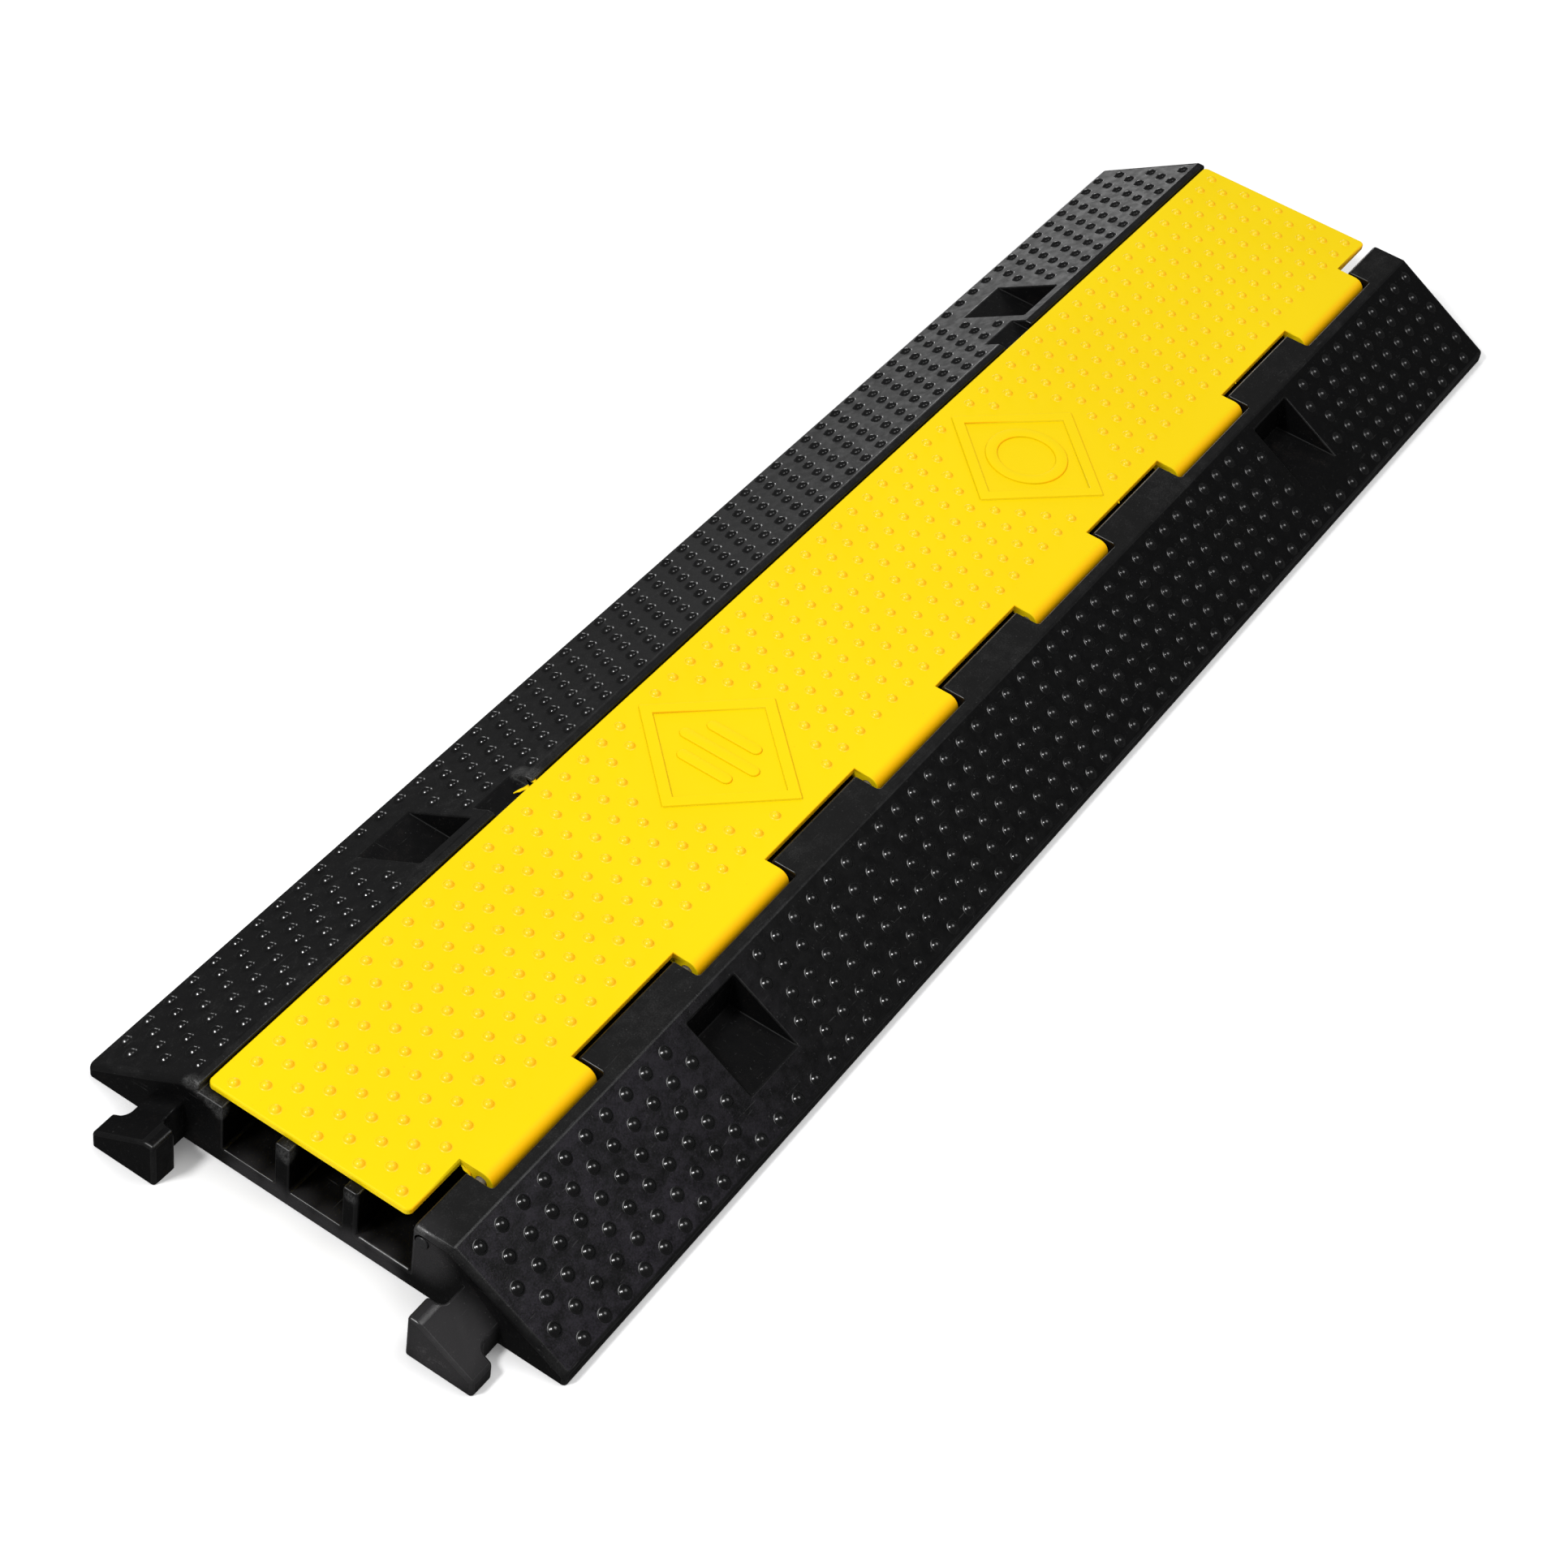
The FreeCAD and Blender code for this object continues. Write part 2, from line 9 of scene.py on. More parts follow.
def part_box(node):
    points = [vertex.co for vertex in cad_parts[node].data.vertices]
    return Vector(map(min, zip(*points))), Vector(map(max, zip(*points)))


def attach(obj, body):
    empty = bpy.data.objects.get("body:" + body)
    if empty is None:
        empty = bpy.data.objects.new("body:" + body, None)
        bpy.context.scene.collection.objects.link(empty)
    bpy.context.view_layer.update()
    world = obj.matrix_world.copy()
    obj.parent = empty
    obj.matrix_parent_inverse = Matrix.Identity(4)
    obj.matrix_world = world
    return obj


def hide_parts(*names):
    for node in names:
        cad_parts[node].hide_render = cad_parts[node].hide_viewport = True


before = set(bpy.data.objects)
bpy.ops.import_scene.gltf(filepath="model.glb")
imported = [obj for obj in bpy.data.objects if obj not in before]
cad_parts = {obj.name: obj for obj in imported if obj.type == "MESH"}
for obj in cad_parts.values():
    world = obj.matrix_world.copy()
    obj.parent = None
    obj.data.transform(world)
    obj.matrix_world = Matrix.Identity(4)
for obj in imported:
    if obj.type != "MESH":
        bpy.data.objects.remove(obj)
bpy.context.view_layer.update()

MM = 0.001

# ------------------------------------------------------------------------------ sizes
# Places come from the frame where it has them. The sizes of the body, the holds, the finger
# recesses and the sign frames repeat the CAD's. Studs and raised marks are only in this model.

HALF_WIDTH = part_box("base")[1].y
BODY_HALF_LENGTH = 500 * MM
DECK = 46 * MM
TOE_HEIGHT = 8 * MM
LATCH_SLOPE_RUN = 64 * MM
HINGE_SLOPE_RUN = 68 * MM
LID_TOP = 45.5 * MM

HOLD_X = 300 * MM
FINGER_X = 256 * MM
FINGER_HALF_WIDTH = 15.5 * MM
SIGN_X = 160 * MM
SIGN_Y = 11.5 * MM

BASE_ROUNDING = 0.9 * MM
WORN_ROUNDING = 1.8 * MM
LID_ROUNDING = 0.6 * MM

STUD_PITCH = 16.25 * MM
STUD_COUNT = 61
SLOPE_ROWS = 6
FIRST_SLOPE_ROW = 5.3 * MM
LATCH_ROW_STEP = 10.65 * MM
HINGE_ROW_STEP = 11.05 * MM
LID_ROWS = 9
LID_ROW_STEP = 12.4 * MM
LID_MIDDLE_ROW = 13 * MM
HOLD_CLEARANCE = 27 * MM
FINGER_CLEARANCE = 4 * MM
SIGN_CLEARANCE = 63 * MM

# A stud's cap and the hollow curve below it are cut into rings at these shares of each.
CAP_SHARES = (0.1, 0.28, 0.46, 0.64, 0.8, 0.93)
FLARE_SHARES = (0.1, 0.5, 1.0)
FLARE_TOP_SHARE = 0.12
STUD_SKIRT = 0.6 * MM
STUD_SKIRT_DEPTH = 0.05 * MM
STUD_ROOT_DEPTH = 0.4 * MM

MARK_WIDTH = 7 * MM
MARK_RISE = 1.1 * MM
MARK_ROUNDING = 0.6 * MM
MARK_ROOT = 0.3 * MM
BAR_SPACING = 14 * MM
BAR_LENGTHS = (34 * MM, 50 * MM, 34 * MM)
BAR_END_STEPS = 8
HOOP_RADIUS = 21 * MM
FLAKE_HALF_THICKNESS = 0.22 * MM
FLAKE_TAPER = 0.85

# Edges that bend more than SHARP are rounded, and faces that bend less than FLAT are one face.
SHARP = math.radians(28)
FLAT = math.radians(0.5)
WELD_DISTANCE = 0.002 * MM

# Where the base's surface changes its look.
TOPS_ABOVE = 43 * MM
SLOPES_BEYOND = 76 * MM
CHANNELS_FROM = -54 * MM
CHANNELS_TO = 61 * MM
CHANNELS_BELOW = 41 * MM
WIDEST_ROUNDING_FACE = 1.3 * MM
LEAST_ROUNDING_BEND = math.radians(6)


# ------------------------------------------------------------------------------ meshes

def piece_from(shape, name, body, slot, *materials):
    """Turn a finished bmesh into a smooth-shaded piece that moves with a body."""
    mesh = bpy.data.meshes.new(name)
    shape.to_mesh(mesh)
    shape.free()
    mesh.shade_smooth()
    for material in materials:
        mesh.materials.append(material)
    piece = bpy.data.objects.new(name, mesh)
    bpy.context.scene.collection.objects.link(piece)
    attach(piece, body)
    return piece


def add_rings(shape, rings, close_top=True, close_bottom=False, close_ends=False):
    """Join closed rings of points, from the first to the last, with quads."""
    layers = [[shape.verts.new(point) for point in ring] for ring in rings]
    pairs = list(zip(layers, layers[1:]))
    if close_ends:
        pairs.append((layers[-1], layers[0]))
    for upper, lower in pairs:
        count = len(upper)
        for index in range(count):
            following = (index + 1) % count
            shape.faces.new((upper[index], lower[index], lower[following], upper[following]))
    if close_top:
        shape.faces.new(layers[0])
    if close_bottom:
        shape.faces.new(list(reversed(layers[-1])))


def stud_profile(radius, height, flare):
    """(radius, height) of the rings of one stud, from near its top down to its root.

    A round cap meets the surface in a small hollow curve, and its root is sunk in it."""
    cap_steepest = 2 * math.atan(height / radius)
    cap_radius = radius / math.sin(cap_steepest)
    flare_top = FLARE_TOP_SHARE * height
    foot_radius = radius + flare
    rings = []
    for share in CAP_SHARES:
        angle = cap_steepest * share
        rings.append((cap_radius * math.sin(angle), height - cap_radius * (1 - math.cos(angle))))
    for share in FLARE_SHARES:
        rings.append((radius + flare * share, flare_top * (1 - share) ** 2))
    rings.append((foot_radius + STUD_SKIRT, -STUD_SKIRT_DEPTH))
    rings.append((foot_radius, -STUD_ROOT_DEPTH))
    return rings


def add_stud(shape, foot, normal, profile, sides=18):
    """One stud of the given profile, standing along the normal of the surface."""
    turn = normal.to_track_quat("Z", "Y").to_matrix()
    rings = []
    for radius, height in profile:
        ring = []
        for index in range(sides):
            angle = 2 * math.pi * index / sides
            spot = Vector((radius * math.cos(angle), radius * math.sin(angle), height))
            ring.append(foot + turn @ spot)
        rings.append(ring)
    add_rings(shape, rings, close_bottom=True)


def stagger(row):
    """X positions of a row of studs: every second row moves by half a pitch."""
    odd = row % 2
    first = -0.5 * (STUD_COUNT - 1 - odd)
    return [(first + index) * STUD_PITCH for index in range(STUD_COUNT - odd)]


def slope_stud_places(side, run, row_step):
    """Foot points on the latch slope (side = 1) or the hinge slope (side = -1)."""
    places = []
    for row in range(SLOPE_ROWS):
        inward = FIRST_SLOPE_ROW + row * row_step
        top_latch_row = side > 0 and row == SLOPE_ROWS - 1
        for x in stagger(row + 1):
            if row > 0 and abs(abs(x) - HOLD_X) < HOLD_CLEARANCE:
                continue
            if top_latch_row and abs(abs(x) - FINGER_X) < FINGER_HALF_WIDTH + FINGER_CLEARANCE:
                continue
            height = TOE_HEIGHT + (DECK - TOE_HEIGHT) * inward / run
            places.append(Vector((x, side * (HALF_WIDTH - inward), height)))
    return places


def lid_stud_places():
    """Foot points on the lid's top, outside the two sign frames."""
    places = []
    for row in range(LID_ROWS):
        y = LID_MIDDLE_ROW + (row - LID_ROWS // 2) * LID_ROW_STEP
        for x in stagger(row):
            if abs(abs(x) - SIGN_X) + abs(y - SIGN_Y) < SIGN_CLEARANCE:
                continue
            places.append(Vector((x, y, LID_TOP)))
    return places


def raised_rings(height):
    """Heights and insets of a raised mark with a rounded top edge, from top to root."""
    # The two points between the ends of the quarter circle, a third and two thirds round.
    short = 0.13 * MARK_ROUNDING
    long = 0.5 * MARK_ROUNDING
    return (
        (height, MARK_ROUNDING),
        (height - short, long),
        (height - long, short),
        (height - MARK_ROUNDING, 0.0),
        (-MARK_ROOT, -MARK_ROOT),
    )


def add_bar(shape, middle, length, width, angle, height):
    """A raised bar with round ends, lying on the lid."""
    turn = Matrix.Rotation(angle, 3, "Z")
    rings = []
    for level, inset in raised_rings(height):
        radius = 0.5 * width - inset
        ring = []
        for end in (1, -1):
            for step in range(BAR_END_STEPS + 1):
                around = math.radians(-90 + 180 / BAR_END_STEPS * step) + (0 if end > 0 else math.pi)
                offset = Vector((end * 0.5 * (length - width), 0, level))
                offset += Vector((math.cos(around), math.sin(around), 0)) * radius
                ring.append(middle + turn @ offset)
        rings.append(ring)
    add_rings(shape, rings, close_bottom=True)


def add_hoop(shape, middle, radius, width, height, sides=56):
    """A raised circle lying on the lid."""
    profile = raised_rings(height)
    section = [(0.5 * width - inset, level) for level, inset in reversed(profile)]
    section += [(inset - 0.5 * width, level) for level, inset in profile]
    rings = []
    for index in range(sides):
        angle = 2 * math.pi * index / sides
        outward = Vector((math.cos(angle), math.sin(angle), 0))
        rings.append([
            middle + outward * (radius + across) + Vector((0, 0, level))
            for across, level in section
        ])
    add_rings(shape, rings, close_top=False, close_ends=True)


def add_flake(shape, start, reach, width, seed, steps=6):
    """A torn sliver of moulding flash: a thin uneven strip that narrows towards its tip."""
    luck = random.Random(seed)
    side = reach.normalized().cross(Vector((0, 0, 1))).normalized()
    thick = Vector((0, 0, FLAKE_HALF_THICKNESS))
    rings = []
    for step in range(steps + 1):
        share = step / steps
        # The strip wanders everywhere but at its start, where it leaves the moulding.
        wander = MM if step > 0 else 0.0
        half = 0.5 * width * (1 - FLAKE_TAPER * share) * luck.uniform(0.75, 1.15)
        middle = start + reach * share
        middle += Vector((0, 0, luck.uniform(-0.25, 0.25) * wander))
        middle += side * luck.uniform(-0.3, 0.3) * wander
        rings.append([
            middle - side * half - thick,
            middle + side * half - thick,
            middle + side * half + thick,
            middle - side * half + thick,
        ])
    add_rings(shape, rings, close_bottom=True)


def softened(node, width, wide=0.0, is_wide=lambda edge: False, chosen=lambda edge: True):
    """A copy of a CAD node's shape with its sharp edges rounded, as a mould leaves them.

    Of the chosen edges, those that is_wide accepts are rounded by wide, and not by width."""
    shape = bmesh.new()
    shape.from_mesh(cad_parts[node].data)
    bmesh.ops.remove_doubles(shape, verts=shape.verts, dist=WELD_DISTANCE)
    bmesh.ops.dissolve_limit(shape, angle_limit=FLAT, verts=shape.verts, edges=shape.edges)
    narrow = shape.edges.layers.int.new("narrow")
    sharp = [
        edge for edge in shape.edges
        if len(edge.link_faces) == 2 and edge.calc_face_angle() > SHARP and chosen(edge)
    ]
    for edge in sharp:
        edge[narrow] = 0 if is_wide(edge) else 1
    for offset, kind in ((wide, 0), (width, 1)):
        edges = [edge for edge in sharp if edge.is_valid and edge[narrow] == kind]
        if edges:
            bmesh.ops.bevel(
                shape, geom=edges, offset=offset, segments=3, profile=0.5,
                affect="EDGES", clamp_overlap=False, loop_slide=True,
            )
    return shape


def worn_round(edge):
    """True for the outer edges of the coupling lugs and the sloping end edges of the body."""
    first, second = (vertex.co for vertex in edge.verts)
    past_body = min(first.x, second.x) < -BODY_HALF_LENGTH - 2 * MM
    off_floor = max(first.z, second.z) > 2 * MM
    at_end = min(abs(first.x), abs(second.x)) > BODY_HALF_LENGTH - 0.1 * MM
    sloping = abs(first.z - second.z) > 5 * MM and abs(first.y - second.y) > 5 * MM
    return edge.is_convex and ((past_body and off_floor) or (at_end and sloping))


def divide(shape, zones):
    """Give each face the number of the first zone whose rule it meets."""
    for face in shape.faces:
        for number, rule in enumerate(zones):
            if rule(face):
                face.material_index = number
                break


def rounding(face):
    """The narrow faces that round an outer edge, and not those of an inner corner."""
    longest = max(edge.calc_length() for edge in face.edges)
    narrow = longest > 0 and face.calc_area() / longest < WIDEST_ROUNDING_FACE
    bends = [edge.calc_face_angle_signed(0.0) for edge in face.edges if edge.is_manifold]
    return narrow and sum(bends) > LEAST_ROUNDING_BEND


def level_top(face):
    """The level faces at the height of the deck."""
    return face.normal.z > 0.9 and face.calc_center_median().z > TOPS_ABOVE


def on_slope(face):
    """Faces that lean as the two slopes do, away from the ends of the body."""
    inboard = abs(face.calc_center_median().x) < BODY_HALF_LENGTH - 1 * MM
    return inboard and 0.7 < face.normal.z < 0.95 and abs(face.normal.x) < 0.1


def hinge_slope(face):
    return on_slope(face) and face.calc_center_median().y < -SLOPES_BEYOND


def latch_slope(face):
    return on_slope(face) and face.calc_center_median().y > SLOPES_BEYOND


def within_channels(face):
    """The channels' walls and floors and the face under them, and not the end faces."""
    middle = face.calc_center_median()
    between = CHANNELS_FROM < middle.y < CHANNELS_TO and middle.z < CHANNELS_BELOW
    return between and abs(face.normal.x) < 0.9


def elsewhere(face):
    return True


# ------------------------------------------------------------------------------ materials

class Surface:
    """A principled material and short calls for the nodes that feed it."""

    # A spot is at full strength within this share of its reach.
    SPOT_CORE = 0.35

    def __init__(self, name, **values):
        self.material = bpy.data.materials.new(name)
        self.material.use_nodes = True
        self.tree = self.material.node_tree
        self.shader = self.tree.nodes["Principled BSDF"]
        for socket, value in values.items():
            self.shader.inputs[socket.replace("_", " ")].default_value = value
        place = self.tree.nodes.new("ShaderNodeTexCoord")
        self.place = place.outputs["Object"]
        self.facing = place.outputs["Normal"]

    def set(self, socket, value):
        """Give a socket a plain value or the output of another node."""
        if isinstance(value, bpy.types.NodeSocket):
            self.tree.links.new(value, socket)
        else:
            socket.default_value = value

    def noise(self, size, detail=4.0, roughness=0.55, stretch=(1, 1, 1)):
        """Cloudy variation from 0 to 1. Size is the width of its patches."""
        mapping = self.tree.nodes.new("ShaderNodeMapping")
        self.set(mapping.inputs["Vector"], self.place)
        mapping.inputs["Scale"].default_value = [1 / (size * factor) for factor in stretch]
        node = self.tree.nodes.new("ShaderNodeTexNoise")
        self.set(node.inputs["Vector"], mapping.outputs["Vector"])
        node.inputs["Scale"].default_value = 1.0
        node.inputs["Detail"].default_value = detail
        node.inputs["Roughness"].default_value = roughness
        return node.outputs["Fac"]

    def steps(self, value, low, high, to_low=0.0, to_high=1.0):
        """Stretch the part of a value between low and high, clamped at both ends."""
        node = self.tree.nodes.new("ShaderNodeMapRange")
        node.interpolation_type = "SMOOTHSTEP"
        self.set(node.inputs["Value"], value)
        node.inputs["From Min"].default_value = low
        node.inputs["From Max"].default_value = high
        node.inputs["To Min"].default_value = to_low
        node.inputs["To Max"].default_value = to_high
        return node.outputs["Result"]

    def math(self, operation, first, second):
        node = self.tree.nodes.new("ShaderNodeMath")
        node.operation = operation
        node.use_clamp = True
        self.set(node.inputs[0], first)
        self.set(node.inputs[1], second)
        return node.outputs["Value"]

    def both(self, first, second):
        """The product of two values from 0 to 1."""
        return self.math("MULTIPLY", first, second)

    def either(self, first, second):
        """The greater of two values from 0 to 1."""
        return self.math("MAXIMUM", first, second)

    def mix(self, factor, first, second):
        """Blend two colours."""
        node = self.tree.nodes.new("ShaderNodeMix")
        node.data_type = "RGBA"
        self.set(node.inputs["Factor"], factor)
        self.set(node.inputs["A"], first)
        self.set(node.inputs["B"], second)
        return node.outputs["Result"]

    def blend(self, factor, first, second):
        """Blend two numbers."""
        node = self.tree.nodes.new("ShaderNodeMix")
        self.set(node.inputs["Factor"], factor)
        self.set(node.inputs["A"], first)
        self.set(node.inputs["B"], second)
        return node.outputs["Result"]

    def near(self, spots):
        """1 close to the nearest spot's middle, fading to 0 at its reach.

        A spot is its middle's x, y and z and its reach, in millimetres."""
        nearness = None
        for *middle, reach in spots:
            node = self.tree.nodes.new("ShaderNodeVectorMath")
            node.operation = "DISTANCE"
            self.set(node.inputs[0], self.place)
            node.inputs[1].default_value = [value * MM for value in middle]
            core = self.SPOT_CORE * reach * MM
            fading = self.steps(node.outputs["Value"], core, reach * MM, 1.0, 0.0)
            nearness = fading if nearness is None else self.either(nearness, fading)
        return nearness

    def facing_toward(self, direction):
        """How far the surface faces a direction, from 1 to -1, by the piece's own normals."""
        node = self.tree.nodes.new("ShaderNodeVectorMath")
        node.operation = "DOT_PRODUCT"
        self.set(node.inputs[0], self.facing)
        node.inputs[1].default_value = direction
        return node.outputs["Value"]

    def bump(self, height, depth, over=None):
        node = self.tree.nodes.new("ShaderNodeBump")
        node.inputs["Distance"].default_value = depth
        self.set(node.inputs["Height"], height)
        if over is not None:
            self.set(node.inputs["Normal"], over)
        return node.outputs["Normal"]

    def finish(self, colour, roughness, normal):
        self.set(self.shader.inputs["Base Color"], colour)
        self.set(self.shader.inputs["Roughness"], roughness)
        self.set(self.shader.inputs["Normal"], normal)
        return self.material


def scratches(surface, size, along, across, low, high):
    """Thin broken streaks in two directions."""
    first = surface.noise(size, 2.0, 0.6, stretch=(along, across, 1))
    second = surface.noise(size * 0.8, 2.0, 0.6, stretch=(across, along, 1))
    return surface.either(surface.steps(first, low, high), surface.steps(second, low, high))


BLACK = (0.0028, 0.0028, 0.0030, 1)
CLEAN = (0.0014, 0.0014, 0.0016, 1)
DEEP = (0.0012, 0.0011, 0.0010, 1)
PURPLE = (0.0140, 0.0115, 0.0172, 1)
SMOKY = (0.0085, 0.0085, 0.0085, 1)
DUSTY = (0.0190, 0.0188, 0.0186, 1)
BROWN = (0.0125, 0.0095, 0.0080, 1)
# The paler tone of the end-face patches: partly dust, partly painted light.
DUST_AND_PAINTED_LIGHT = (0.046, 0.044, 0.046, 1)
CHIPPED = (0.095, 0.095, 0.093, 1)

# Places on the rubber, as x, y, z and reach in millimetres. SCUFFS are rubbed to a pale
# speckle. The second list marks paler patches on the near end faces: partly floor dust, and
# partly painted light where those faces catch the lamps.
SCUFFS = (
    (-500, 80, 45, 7),
    (-500, 73, 45, 8),
    (-500, 66, 40, 6),
    (-500, 60, 37, 7),
    (-500, 21, 37, 8),
    (-500, -17, 37, 5),
    (-500, -56, 44, 5),
    (-238, 76, 44, 9),
    (-237, 84, 42, 7),
)
DUST_AND_PAINTED_LIGHT_SPOTS = (
    (-500, -58, 30, 24),
    (-502, -36, 1, 17),
    (-502, -20, 1, 17),
    (-502, -4, 1, 17),
    (-502, 12, 1, 17),
    (-502, 28, 1, 17),
    (-502, 44, 1, 17),
    (-526, -92, 16, 34),
)
EVERYWHERE = ((0, 0, 0, 5000),)
LUG_END = ((-500, -110, 30, 280),)


def rubber(name, specular, dark, pale, share, roughness, wear, toned=EVERYWHERE):
    """Moulded black rubber, between two tones, with dust, scratches and scuffs, and paler end-face
    patches that are partly dust and partly painted light.

    share is how much of it takes the pale tone, in the toned places, and wear how far
    its surface is rubbed."""
    surface = Surface(name, Specular_IOR_Level=specular)
    clouds = surface.noise(30 * MM, 5.0, 0.62)
    patches = surface.noise(6 * MM, 4.0, 0.6)
    grain = surface.noise(0.9 * MM, 3.0, 0.6)
    speckle = surface.noise(0.6 * MM, 2.0, 0.5)
    specks = surface.steps(surface.noise(1.2 * MM, 2.0, 0.5), 0.68, 0.75)
    marks = scratches(surface, 1.8 * MM, 12, 0.6, 0.69, 0.78)

    tone = surface.blend(0.45, clouds, patches)
    tone = surface.blend(0.4, tone, grain)
    tone = surface.steps(tone, 0.72 - 0.45 * share, 0.88 - 0.38 * share)
    colour = surface.mix(surface.both(tone, surface.near(toned)), dark, pale)
    # Paler patches on the near end faces: partly floor dust, partly painted light where those faces
    # catch the lamps.
    dust_and_painted_light_mask = surface.both(surface.near(DUST_AND_PAINTED_LIGHT_SPOTS), surface.steps(tone, 0.2, 0.8, 0.5, 0.9))
    colour = surface.mix(dust_and_painted_light_mask, colour, DUST_AND_PAINTED_LIGHT)
    fine = surface.either(surface.both(specks, 0.25), surface.both(marks, 0.22))
    colour = surface.mix(fine, colour, CHIPPED)
    rubbed = surface.steps(clouds, 0.48, 0.62, 0.0, wear)
    rubbed = surface.either(rubbed, surface.near(SCUFFS))
    rubbed = surface.both(rubbed, surface.steps(speckle, 0.30, 0.80, 0.05, 0.6))
    colour = surface.mix(rubbed, colour, CHIPPED)

    low, high = roughness
    shine = surface.steps(patches, 0.3, 0.7, low, high)
    shine = surface.blend(rubbed, shine, 0.8)
    normal = surface.bump(patches, 0.10 * MM)
    normal = surface.bump(grain, 0.05 * MM, normal)
    normal = surface.bump(marks, 0.03 * MM, normal)
    return surface.finish(colour, shine, normal)


def rubber_studs(name, specular, smoothest, roughest):
    """The studs of a slope, polished by wheels and feet."""
    surface = Surface(name, Specular_IOR_Level=specular)
    clouds = surface.noise(30 * MM, 4.0, 0.6)
    grain = surface.noise(1.0 * MM, 3.0, 0.6)
    colour = surface.mix(surface.steps(clouds, 0.35, 0.7), CLEAN, BLACK)
    colour = surface.mix(surface.steps(grain, 0.66, 0.76, 0.0, 0.08), colour, CHIPPED)
    roughness = surface.steps(clouds, 0.3, 0.7, smoothest, roughest)
    return surface.finish(colour, roughness, surface.bump(clouds, 0.1 * MM))


YELLOW = (0.80, 0.590, 0.0018, 1)
WARM_YELLOW = (0.78, 0.560, 0.0014, 1)
SHADED_YELLOW = (0.96, 0.50, 0.0012, 1)
SOILED_YELLOW = (0.42, 0.25, 0.010, 1)


def lid_plastic(name, specular, smoothest):
    surface = Surface(name, Specular_IOR_Level=specular)
    clouds = surface.noise(160 * MM, 3.0, 0.5)
    patches = surface.noise(9 * MM, 4.0, 0.6)
    peel = surface.noise(1.4 * MM, 2.0, 0.5)
    specks = surface.steps(surface.noise(2.2 * MM, 2.0, 0.5), 0.74, 0.79)
    marks = scratches(surface, 2.0 * MM, 16, 0.8, 0.74, 0.82)

    colour = surface.mix(surface.steps(clouds, 0.3, 0.7), YELLOW, WARM_YELLOW)
    # Painted shade: surfaces that face away from the key lamp, towards +x and the hinge side, take
    # the darker orange SHADED_YELLOW, on the lid and on its studs.
    painted_shade = surface.steps(surface.facing_toward((0.6, -0.8, 0)), 0.05, 0.6)
    colour = surface.mix(painted_shade, colour, SHADED_YELLOW)
    soil = surface.either(surface.both(specks, 0.22), surface.both(marks, 0.08))
    colour = surface.mix(soil, colour, SOILED_YELLOW)

    roughness = surface.steps(patches, 0.3, 0.7, smoothest, smoothest + 0.08)
    normal = surface.bump(clouds, 0.6 * MM)
    normal = surface.bump(peel, 0.02 * MM, normal)
    normal = surface.bump(marks, 0.02 * MM, normal)
    return surface.finish(colour, roughness, normal)


def rod_fibre():
    surface = Surface("rod_fibre")
    streaks = surface.noise(0.5 * MM, 4.0, 0.6, stretch=(60, 1, 1))
    patches = surface.noise(6 * MM, 4.0, 0.6)
    colour = surface.mix(streaks, (0.10, 0.085, 0.07, 1), (0.24, 0.22, 0.195, 1))
    colour = surface.mix(surface.steps(patches, 0.5, 0.75), colour, (0.05, 0.042, 0.036, 1))
    roughness = surface.steps(patches, 0.3, 0.7, 0.35, 0.55)
    return surface.finish(colour, roughness, surface.bump(streaks, 0.05 * MM))


def plug_plastic():
    surface = Surface("plug_plastic")
    grain = surface.noise(0.6 * MM, 3.0, 0.6)
    colour = surface.mix(grain, (0.010, 0.010, 0.011, 1), (0.028, 0.028, 0.029, 1))
    roughness = surface.steps(grain, 0.3, 0.7, 0.35, 0.5)
    return surface.finish(colour, roughness, surface.bump(grain, 0.05 * MM))


# ------------------------------------------------------------------------------ the base

RUBBERS = (
    (rounding, rubber("rubber_edges", 0.55, BLACK, DUSTY, 0.35, (0.28, 0.40), 0.15)),
    (
        hinge_slope,
        rubber("rubber_hinge_slope", 0.3, CLEAN, PURPLE, 0.7, (0.30, 0.42), 0.0, LUG_END),
    ),
    (latch_slope, rubber("rubber_latch_slope", 0.4, BLACK, DUSTY, 0.45, (0.40, 0.52), 0.0)),
    (level_top, rubber("rubber_tops", 0.12, SMOKY, DUSTY, 0.55, (0.50, 0.62), 0.0)),
    (within_channels, rubber("rubber_channels", 0.12, DEEP, BROWN, 0.3, (0.45, 0.6), 0.0)),
    (elsewhere, rubber("rubber_sides", 0.15, BLACK, BROWN, 0.45, (0.42, 0.55), 0.0)),
)

base_shape = softened("base", BASE_ROUNDING, WORN_ROUNDING, worn_round)
divide(base_shape, [rule for rule, material in RUBBERS])
base = piece_from(
    base_shape, "base_moulding", "base", "base_rubber",
    *[material for rule, material in RUBBERS],
)
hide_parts("base")
base.modifiers.new("even_shading", "WEIGHTED_NORMAL").keep_sharp = True

slope_stud = stud_profile(3.4 * MM, 2.1 * MM, 0.6 * MM)
for stud_name, slope_side, slope_run, row_step, shine in (
    ("latch_slope_studs", 1, LATCH_SLOPE_RUN, LATCH_ROW_STEP, (1.0, 0.20, 0.28)),
    ("hinge_slope_studs", -1, HINGE_SLOPE_RUN, HINGE_ROW_STEP, (0.9, 0.19, 0.27)),
):
    studs = bmesh.new()
    outward = Vector((0, slope_side * (DECK - TOE_HEIGHT), slope_run)).normalized()
    for spot in slope_stud_places(slope_side, slope_run, row_step):
        add_stud(studs, spot, outward, slope_stud)
    piece_from(studs, stud_name, "base", "base_rubber", rubber_studs(stud_name, *shine))

# ------------------------------------------------------------------------------ the lid

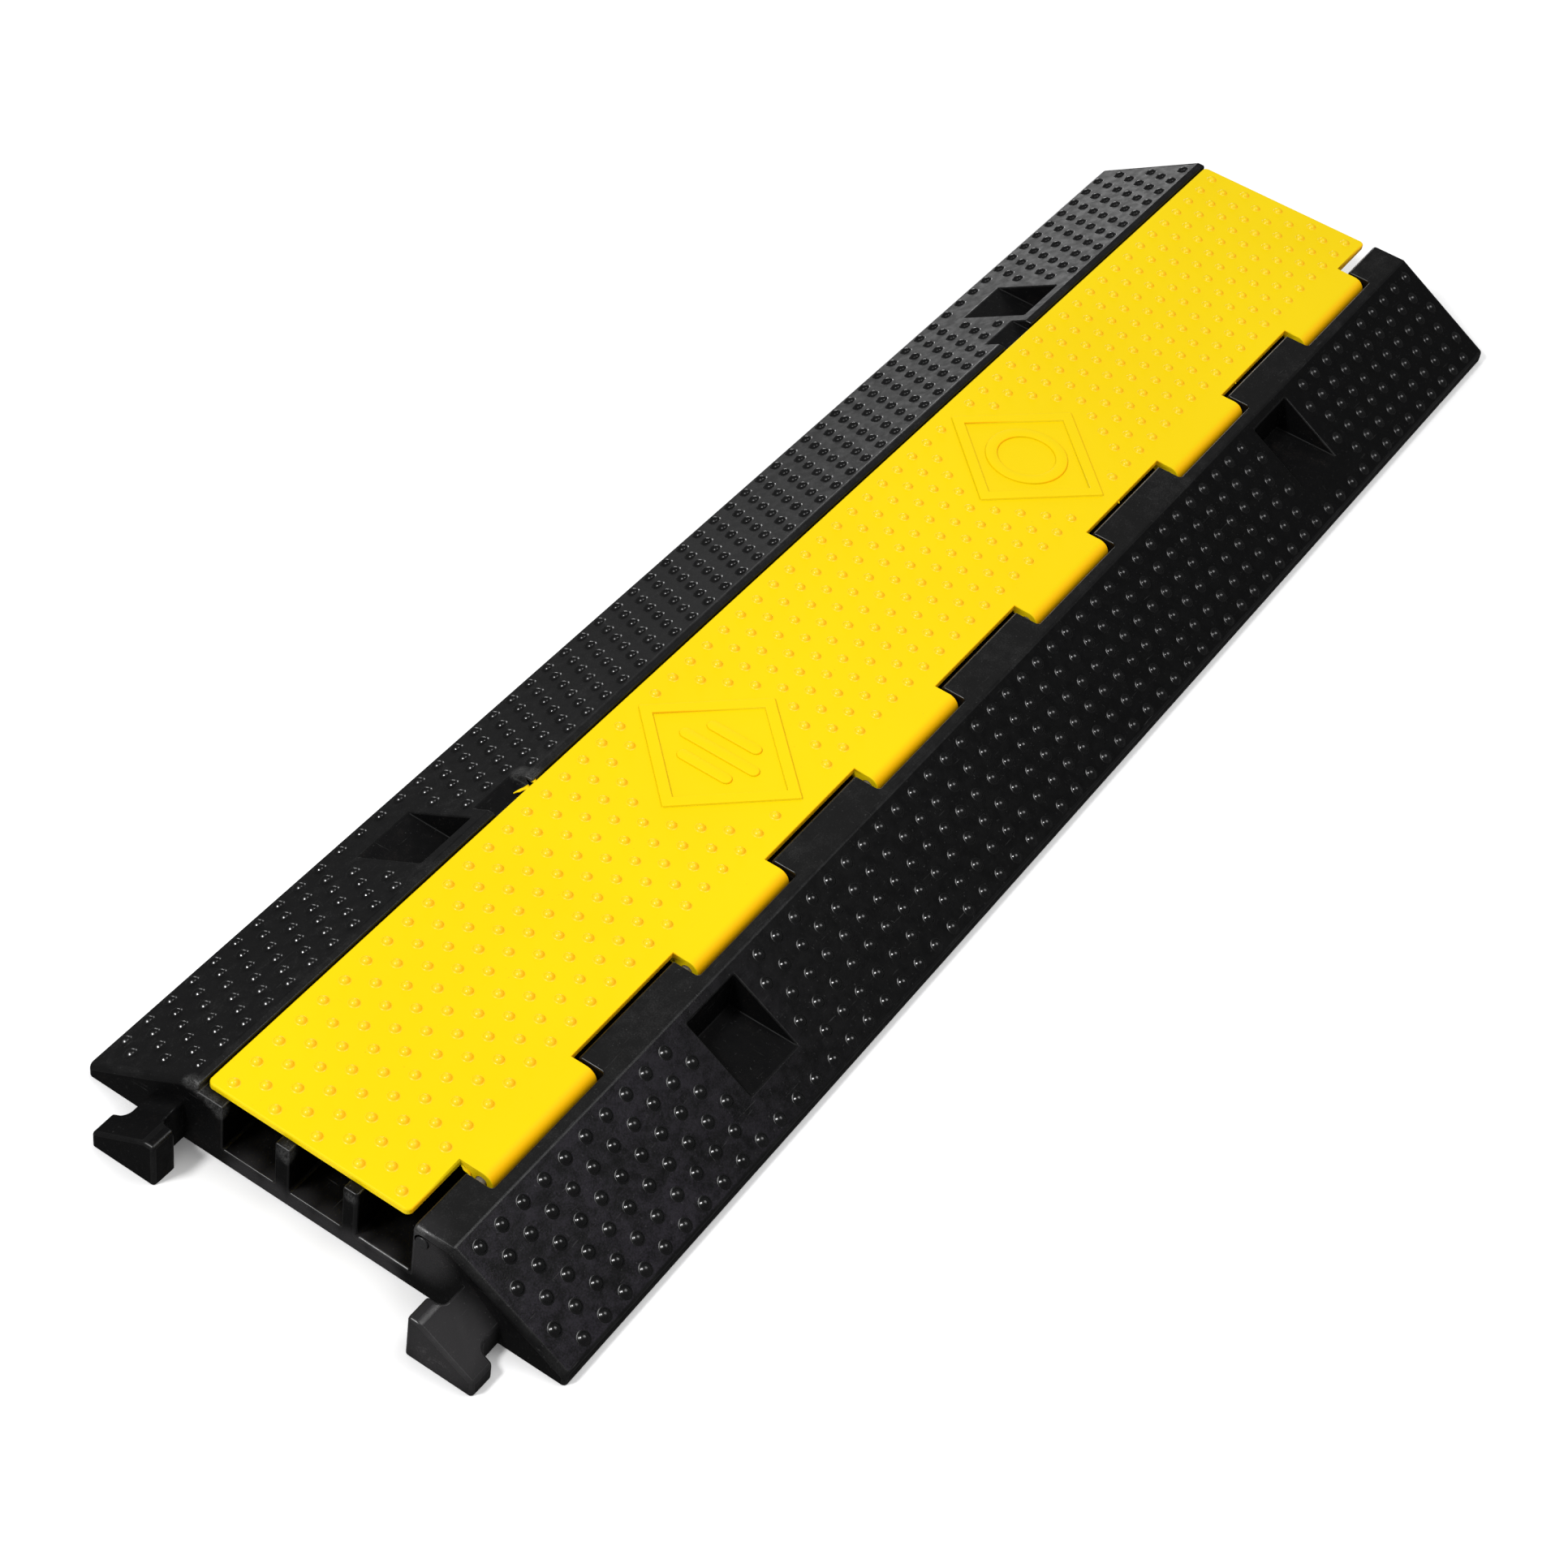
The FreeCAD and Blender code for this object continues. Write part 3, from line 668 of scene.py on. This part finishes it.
lid_shape = softened("lid", LID_ROUNDING, chosen=lambda edge: edge.is_convex)
plastic = lid_plastic("lid_plastic", 0.07, 0.36)
lid = piece_from(lid_shape, "lid_moulding", "lid", "lid_plastic", plastic)
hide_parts("lid")
lid.modifiers.new("even_shading", "WEIGHTED_NORMAL").keep_sharp = True

lid_stud = stud_profile(2.9 * MM, 2.2 * MM, 0.5 * MM)
lid_stud_shape = bmesh.new()
for spot in lid_stud_places():
    add_stud(lid_stud_shape, spot, Vector((0, 0, 1)), lid_stud)
piece_from(
    lid_stud_shape, "lid_studs", "lid", "lid_plastic", lid_plastic("lid_studs", 0.35, 0.26)
)

# Plain shapes stand inside the two sign frames: three bars in one, a hoop in the other.
bars = bmesh.new()
for place, bar_length in zip((-1, 0, 1), BAR_LENGTHS):
    centre = Vector((-SIGN_X + place * BAR_SPACING, SIGN_Y, LID_TOP))
    add_bar(bars, centre, bar_length, MARK_WIDTH, math.radians(90), MARK_RISE)
piece_from(bars, "sign_bars", "lid", "lid_plastic", plastic)

hoop = bmesh.new()
add_hoop(hoop, Vector((SIGN_X, SIGN_Y, LID_TOP)), HOOP_RADIUS, MARK_WIDTH, MARK_RISE)
piece_from(hoop, "sign_hoop", "lid", "lid_plastic", plastic)

# Slivers of flash on the lid's edge: seed, start, reach and width, in millimetres.
flakes = bmesh.new()
for seed, start, reach, flake_width in (
    (3, (-243, 73.5, 43.6), (-9, 3.5, -0.6), 3.4),
    (5, (-240, 73.5, 44.2), (5.5, 2.2, 0.4), 2.0),
    (8, (-455.2, -47.5, 42.0), (-2.6, -6.5, -2.6), 3.4),
    (12, (165, -48.2, 43.4), (-2.2, -2.6, 0.6), 2.4),
    (17, (312, -48.2, 43.4), (-1.6, -2.4, 0.5), 2.0),
):
    add_flake(flakes, Vector(start) * MM, Vector(reach) * MM, flake_width * MM, seed)
piece_from(flakes, "lid_flash", "lid", "lid_plastic", plastic)

for node, finish in (
    ("hinge_rod", rod_fibre()),
    ("lug_end_plug", plug_plastic()),
    ("socket_end_plug", plug_plastic()),
):
    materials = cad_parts[node].data.materials
    for index in range(len(materials)):
        materials[index] = finish

# ------------------------------------------------------------------------------ studio

FLOOR_REACH = 6
SKY_STRENGTH = 0.70
REFLECTED_SKY_STRENGTH = 0.09

floor_surface = Surface("studio_floor")
floor_tone = floor_surface.noise(0.4, 2.0, 0.5)
floor_shape = bmesh.new()
floor_shape.faces.new([
    floor_shape.verts.new((x * FLOOR_REACH, y * FLOOR_REACH, 0))
    for x, y in ((-1, -1), (1, -1), (1, 1), (-1, 1))
])
floor_mesh = bpy.data.meshes.new("studio_floor")
floor_shape.to_mesh(floor_mesh)
floor_shape.free()
floor_mesh.materials.append(floor_surface.finish(
    floor_surface.mix(floor_tone, (0.955, 0.955, 0.96, 1), (0.975, 0.975, 0.975, 1)),
    0.75,
    floor_surface.bump(floor_tone, 0.1 * MM),
))
floor = bpy.data.objects.new("studio_floor", floor_mesh)
bpy.context.scene.collection.objects.link(floor)
floor.visible_glossy = False


def softbox(name, toward, distance, size, power):
    """A rectangular light at a distance in a direction from the middle of the object."""
    data = bpy.data.lights.new(name, "AREA")
    data.shape = "RECTANGLE"
    data.size, data.size_y = size
    data.energy = power
    light = bpy.data.objects.new(name, data)
    direction = Vector(toward).normalized()
    light.location = direction * distance
    light.rotation_euler = (-direction).to_track_quat("-Z", "Y").to_euler()
    bpy.context.scene.collection.objects.link(light)


softbox("key", (-0.60, 0.25, 0.75), 2.8, (0.42, 0.42), 38)
softbox("overhead", (0.13, -0.30, 0.94), 2.4, (1.2, 1.2), 15)
softbox("back", (2.3, 1.75, 0.30), 2.9, (1.0, 0.7), 8.5)

# An even white sky lights the scene, and looks dim in reflections, as in a dark studio.
world = bpy.data.worlds.new("studio")
world.use_nodes = True
sky = world.node_tree
backdrop = sky.nodes["Background"]
backdrop.inputs["Color"].default_value = (1, 1, 1, 1)
path = sky.nodes.new("ShaderNodeLightPath")
strength = sky.nodes.new("ShaderNodeMapRange")
strength.inputs["To Min"].default_value = SKY_STRENGTH
strength.inputs["To Max"].default_value = REFLECTED_SKY_STRENGTH
sky.links.new(path.outputs["Is Glossy Ray"], strength.inputs["Value"])
sky.links.new(strength.outputs["Result"], backdrop.inputs["Strength"])
bpy.context.scene.world = world
bpy.context.scene.view_settings.view_transform = "Standard"

# The camera stands beyond the lug end, on the hinge side, and looks down the ramp.
CAMERA_PLACE = Vector((-1.2188, -0.5541, 1.2468))
CAMERA_HEADING = math.radians(26.38)
CAMERA_ELEVATION = math.radians(-45.38)
CAMERA_ROLL = math.radians(10.21)
CAMERA_LENS = 74.31

camera_data = bpy.data.cameras.new("camera")
camera_data.sensor_width = 36
camera_data.lens = CAMERA_LENS
camera = bpy.data.objects.new("camera", camera_data)
camera.matrix_world = (
    Matrix.Translation(CAMERA_PLACE)
    @ Matrix.Rotation(CAMERA_HEADING - math.pi / 2, 4, "Z")
    @ Matrix.Rotation(math.pi / 2 + CAMERA_ELEVATION, 4, "X")
    @ Matrix.Rotation(CAMERA_ROLL, 4, "Z")
)
bpy.context.scene.collection.objects.link(camera)
bpy.context.scene.camera = camera
